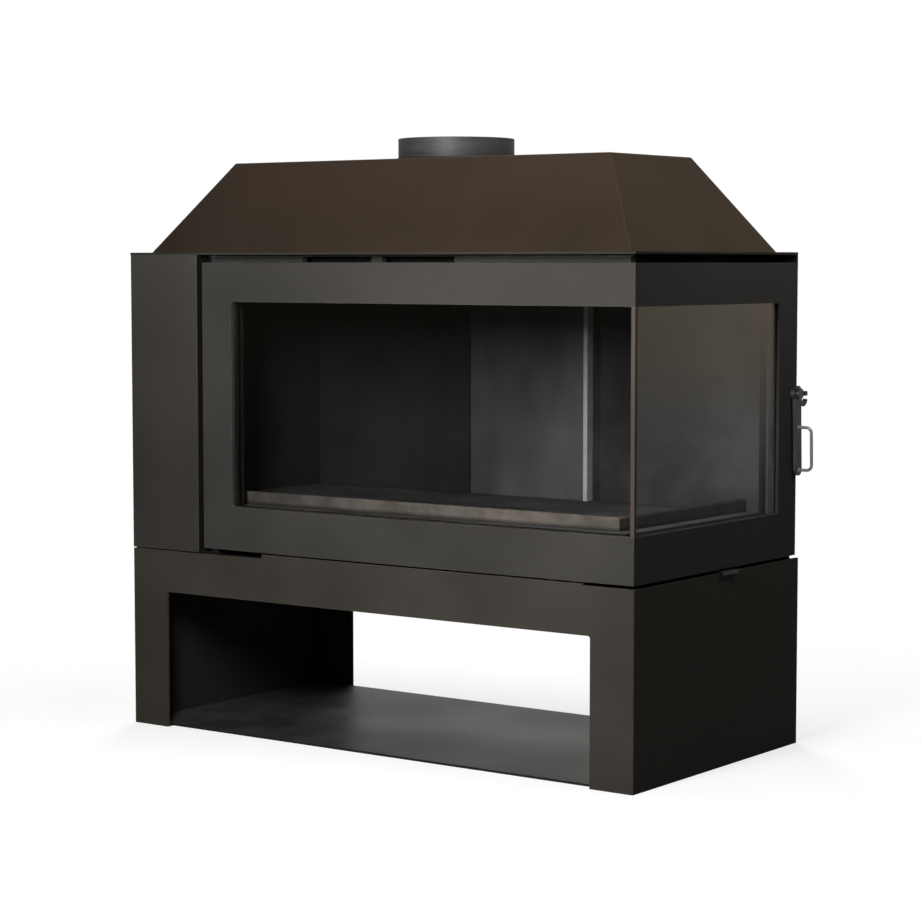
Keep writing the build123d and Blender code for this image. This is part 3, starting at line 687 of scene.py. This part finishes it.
def spaced(points, step):
    """Closed route at even steps."""
    ring = points + [points[0]]
    lengths = [(b - a).length for a, b in zip(ring, ring[1:])]
    count = round(sum(lengths) / step)
    pitch = sum(lengths) / count
    result = []
    index = 0
    passed = 0.0
    for k in range(count):
        while k * pitch > passed + lengths[index]:
            passed += lengths[index]
            index += 1
        share = (k * pitch - passed) / lengths[index]
        result.append(ring[index].lerp(ring[index + 1], share))
    return result


def plait_relief(angle, lay):
    """How far a strand of the plait stands out, from 0 to 1, at an angle round the rope."""
    one_way = math.cos((ROPE_STRANDS * angle + lay) / 2)
    other_way = math.cos((ROPE_STRANDS * angle - lay) / 2)
    return abs(one_way * other_way)


def rope_seal():
    """Plaited rope pressed square on the door's back, all round both panes."""
    low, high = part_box("door_seal")
    half = ROPE_SIZE / 2
    left, front, bottom = low + Vector((half, half, half))
    right, end, top = high - Vector((half, half, half))
    corners = [
        Vector(p) for p in (
            (left, front, bottom), (right, front, bottom), (right, end, bottom),
            (right, end, top), (right, front, top), (left, front, top),
        )
    ]
    route = spaced(rounded_route(corners, ROPE_BEND, ROPE_BEND_STEPS, True), ROPE_STEP)
    turn = Vector((right - ROPE_BEND, front + ROPE_BEND, 0.0))
    reliefs = []

    def inward(point):
        """Direction from the door's back into the firebox."""
        if point.x <= turn.x:
            return Vector((0.0, 1.0, 0.0))
        if point.y >= turn.y:
            return Vector((-1.0, 0.0, 0.0))
        return Vector((turn.x - point.x, turn.y - point.y, 0.0)).normalized()

    def build(bm):
        rings = []
        for i, point in enumerate(route):
            along = (route[(i + 1) % len(route)] - route[i - 1]).normalized()
            out = inward(point)
            across = along.cross(out).normalized()
            lay = 2 * math.pi * i * ROPE_STEP / ROPE_PLAIT
            ring = []
            for angle in turns(ROPE_SIDES):
                square = (math.cos(angle) ** 4 + math.sin(angle) ** 4) ** -0.25
                relief = plait_relief(angle, lay)
                reliefs.append(relief)
                radius = half * square - ROPE_RELIEF * (1.0 - relief)
                ring.append(bm.verts.new(point + (out * math.sin(angle) + across * math.cos(angle)) * radius))
            rings.append(ring)
        bridge(bm, rings, True)

    piece = new_piece("rope_seal", "door", braided_fibre("braided_fibre"), build)
    attribute = piece.data.attributes.new("relief", "FLOAT", "POINT")
    attribute.data.foreach_set("value", reliefs)
    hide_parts("door_seal")


def tube(bm, route, radius, sides):
    """Round bar along a route that lies in one plane, open at both ends."""
    side = (route[1] - route[0]).cross(route[-1] - route[0]).normalized()
    rings = []
    for i, point in enumerate(route):
        along = (route[min(i + 1, len(route) - 1)] - route[max(i - 1, 0)]).normalized()
        up = side.cross(along)
        rings.append([
            bm.verts.new(point + (side * math.cos(a) + up * math.sin(a)) * radius) for a in turns(sides)
        ])
    bridge(bm, rings, False)


def bead(bm, centre, axis, ring_radius, radius):
    """Rippled weld bead round a bar or pipe."""
    count = max(BEAD_LEAST, BEAD_STEPS * round(2 * math.pi * ring_radius / BEAD_PITCH))
    ripples = count // BEAD_STEPS
    first = axis.orthogonal().normalized()
    second = axis.cross(first)
    rings = []
    for angle in turns(count):
        out = first * math.cos(angle) + second * math.sin(angle)
        size = radius * (1.0 + BEAD_RIPPLE * math.sin(ripples * angle))
        rings.append([
            bm.verts.new(centre + out * (ring_radius + size * math.cos(a)) + axis * size * math.sin(a))
            for a in turns(BEAD_SIDES)
        ])
    bridge(bm, rings, True)


def latch_handle():
    """Bright round-bar loop on the lever, welded at both feet."""
    material = steel("handle_steel", LOOP_STEEL, roughness=0.35, metallic=0.35)
    pivot = Vector(next(j["pos_m"] for j in frame["joints"] if j["name"] == "latch_pivot"))
    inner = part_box("latch_lever")[1].x
    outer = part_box("latch_handle")[1].x - HANDLE_ROD
    down = Vector((0.0, math.sin(HANDLE_SLANT), -math.cos(HANDLE_SLANT)))
    feet = [pivot + down * along for along in (HANDLE_FIRST, HANDLE_FIRST + HANDLE_LENGTH)]
    corners = [
        Vector((x, foot.y, foot.z))
        for foot, x in ((feet[0], inner), (feet[0], outer), (feet[1], outer), (feet[1], inner))
    ]

    def build(bm):
        route = rounded_route(corners, HANDLE_BEND, HANDLE_BEND_STEPS, False)
        tube(bm, route, HANDLE_ROD, HANDLE_SIDES)
        for corner in (corners[0], corners[3]):
            bead(bm, corner, Vector(RIGHT), HANDLE_ROD, HANDLE_BEAD)

    piece = new_piece("handle_loop", "latch", material, build)
    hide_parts("latch_handle")


def collar_weld():
    """Weld bead between the flue collar and the hood's top sheet."""
    low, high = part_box("flue_collar")
    foot = Vector(((low.x + high.x) / 2, (low.y + high.y) / 2, low.z))
    material = painted_steel("weld_paint", HOOD_PAINT, dust=0.3, roughness=0.60)
    new_piece(
        "collar_weld", "stove", material,
        lambda bm: bead(bm, foot, Vector(UP), (high.x - low.x) / 2, COLLAR_BEAD),
    )


def heads(node):
    """Foot, outward axis, radius and height of each screw head in a group of solids.

    A head that is thin from front to back looks back, any other looks left.
    """
    groups = []
    for vertex in nodes[node].data.vertices:
        near = [g for g in groups if (g[0] - vertex.co).length < HEAD_SPACING]
        if near:
            near[0].append(vertex.co)
        else:
            groups.append([vertex.co])
    found = []
    for group in groups:
        low = Vector(min(p[i] for p in group) for i in range(3))
        high = Vector(max(p[i] for p in group) for i in range(3))
        size = high - low
        axis = Vector((0.0, 1.0, 0.0)) if size.y < size.x else Vector((-1.0, 0.0, 0.0))
        height = abs(size.dot(axis))
        foot = (low + high) / 2 - axis * height / 2
        found.append((foot, axis, max(size) / 2, height))
    return found


def hexagon_reach(angle):
    """Distance to a hexagon's outline, as a share of its corners' distance."""
    sixth = math.pi / 6
    return math.cos(sixth) / math.cos((angle + sixth) % (2 * sixth) - sixth)


def screw(bm, foot, axis, radius, height, turn):
    """Hexagon head on a thin flange, chamfered at the top."""
    first = axis.orthogonal().normalized()
    second = axis.cross(first)
    rings = []
    for level, size, hexagon in HEAD_PROFILE:
        ring = []
        for angle in turns(HEAD_SIDES):
            reach = size * hexagon_reach(angle) if hexagon else size
            way = first * math.cos(angle + turn) + second * math.sin(angle + turn)
            ring.append(bm.verts.new(foot + axis * level * height + way * reach * radius))
        rings.append(ring)
    bridge(bm, rings, False)
    bm.faces.new(rings[-1])


def screws():
    """Detailed heads in the place of every group of screws."""
    material = steel("screw_steel", BLACK_STEEL, roughness=0.40, lines=(1.0, 1.0, 1.0))
    for node, body in (("back_screws", "stove"), ("keeper_screws", "stove"), ("glazing_screws", "door")):
        def build(bm):
            for i, (foot, axis, radius, height) in enumerate(heads(node)):
                screw(bm, foot, axis, radius * HEAD_SHARE, height, HEAD_TURN * i)

        piece = new_piece(node + "_heads", body, material, build)
        for polygon in piece.data.polygons:
            polygon.use_smooth = len(polygon.vertices) == 4
        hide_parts(node)


def seen_rays(n):
    """Two shares: rays that show the background, also through glass, and rays that gloss has mirrored."""
    rays = n.add("LightPath").outputs
    turned = n.maths("GREATER_THAN", rays["Glossy Depth"], 0.5)
    straight = n.maths("SUBTRACT", 1.0, turned)
    passed = rays["Is Transmission Ray"]
    seen = n.larger(rays["Is Camera Ray"], n.times(passed, straight))
    gloss = n.larger(rays["Is Glossy Ray"], n.times(passed, turned))
    return seen, gloss


def studio_world():
    """White behind the object; dim surroundings in front of it that only its gloss shows."""
    world = bpy.data.worlds.new("studio")
    bpy.context.scene.world = world
    world.use_nodes = True
    n = Nodes(world.node_tree)
    seen, gloss = seen_rays(n)
    direction = n.add("TexCoord").outputs["Generated"]
    towards = n.dot(direction, REFLECTED_TOWARDS)
    rise = n.parted(direction)["Z"]
    mirrored = n.ramp(towards, REFLECTED_START, 1.0, REFLECTED_DIM, REFLECTED_BRIGHT)
    mirrored = n.times(mirrored, n.ramp(rise, UNDER_HORIZON, 0.0, UNDER_SHARE, 1.0))
    ambient = n.times(n.maths("SUBTRACT", 1.0, gloss), AMBIENT)
    unseen = n.maths("ADD", n.times(gloss, mirrored), ambient)
    warm = n.times(gloss, n.times(n.ramp(rise, *TINT_FROM), n.ramp(rise, *TINT_TO)))
    tint = n.blend(warm, WHITE, REFLECTED_TINT)
    background = n.add("Background", Color=tint, Strength=n.larger(seen, unseen))
    n.add("OutputWorld", Surface=background.outputs[0])


def floor_finish():
    """Matt pale floor, lifted where it is seen or mirrored, that runs out to white far from the stove."""
    material, n = surface("floor")
    seen, gloss = seen_rays(n)
    distance = n.add("VectorMath", {"operation": "LENGTH"}, Vector=n.place()).outputs["Value"]
    far = n.times(n.ramp(distance, FLOOR_NEAR, FLOOR_FAR), seen)
    mottled = n.spread(n.noise(FLOOR_GRAIN, 4.0), FLOOR_TONE - FLOOR_MOTTLE, FLOOR_TONE + FLOOR_MOTTLE)
    bounced = n.ramp(n.add("LightPath").outputs["Is Diffuse Ray"], 0.0, 1.0, 1.0, FLOOR_BOUNCE)
    shown = n.larger(n.times(seen, FLOOR_LIFT), n.times(gloss, FLOOR_MIRRORED))
    matt = n.add("BsdfDiffuse", Color=n.times(mottled, bounced))
    lift = n.add("Emission", Color=WHITE, Strength=shown)
    white = n.add("Emission", Color=WHITE, Strength=1.0)
    near = n.add("AddShader")
    n.join(matt.outputs[0], near.inputs[0])
    n.join(lift.outputs[0], near.inputs[1])
    n.output(n.mix(far, near, white))
    return material


def floor():
    """Pale floor that keeps the shadow near the stove."""
    mesh = bpy.data.meshes.new("floor")
    reach = FLOOR_REACH
    corners = [(-reach, -reach, 0.0), (reach, -reach, 0.0), (reach, reach, 0.0), (-reach, reach, 0.0)]
    mesh.from_pydata(corners, [], [(0, 1, 2, 3)])
    piece = bpy.data.objects.new("floor", mesh)
    bpy.context.scene.collection.objects.link(piece)
    show(piece, floor_finish())


def lamp(name, place, aim, size, power, mirrored=False):
    """Soft studio lamp that the camera doesn't see, nor any gloss unless it is mirrored."""
    data = bpy.data.lights.new(name, "AREA")
    data.shape = "RECTANGLE"
    data.size, data.size_y = size
    data.energy = power
    piece = bpy.data.objects.new(name, data)
    piece.location = place
    piece.rotation_euler = (Vector(aim) - Vector(place)).to_track_quat("-Z", "Y").to_euler()
    piece.visible_camera = False
    piece.visible_glossy = mirrored
    bpy.context.scene.collection.objects.link(piece)


def camera():
    """Camera at the photograph's viewing angle."""
    data = bpy.data.cameras.new("camera")
    data.lens = CAMERA_LENS
    place = bpy.data.objects.new("camera", data)
    place.location = CAMERA_PLACE
    place.rotation_euler = (math.radians(90.0 - CAMERA_DROP), 0.0, math.radians(CAMERA_TURN))
    bpy.context.scene.collection.objects.link(place)
    bpy.context.scene.camera = place


bpy.context.scene.view_settings.view_transform = "Standard"
camera()
studio_world()
floor()
lamp("key", *KEY_LAMP, mirrored=True)
lamp("top", *TOP_LAMP)
lamp("side", *SIDE_LAMP)
lamp("back", *BACK_LAMP)
finish_solids()
latch_handle()
rope_seal()
collar_weld()
screws()
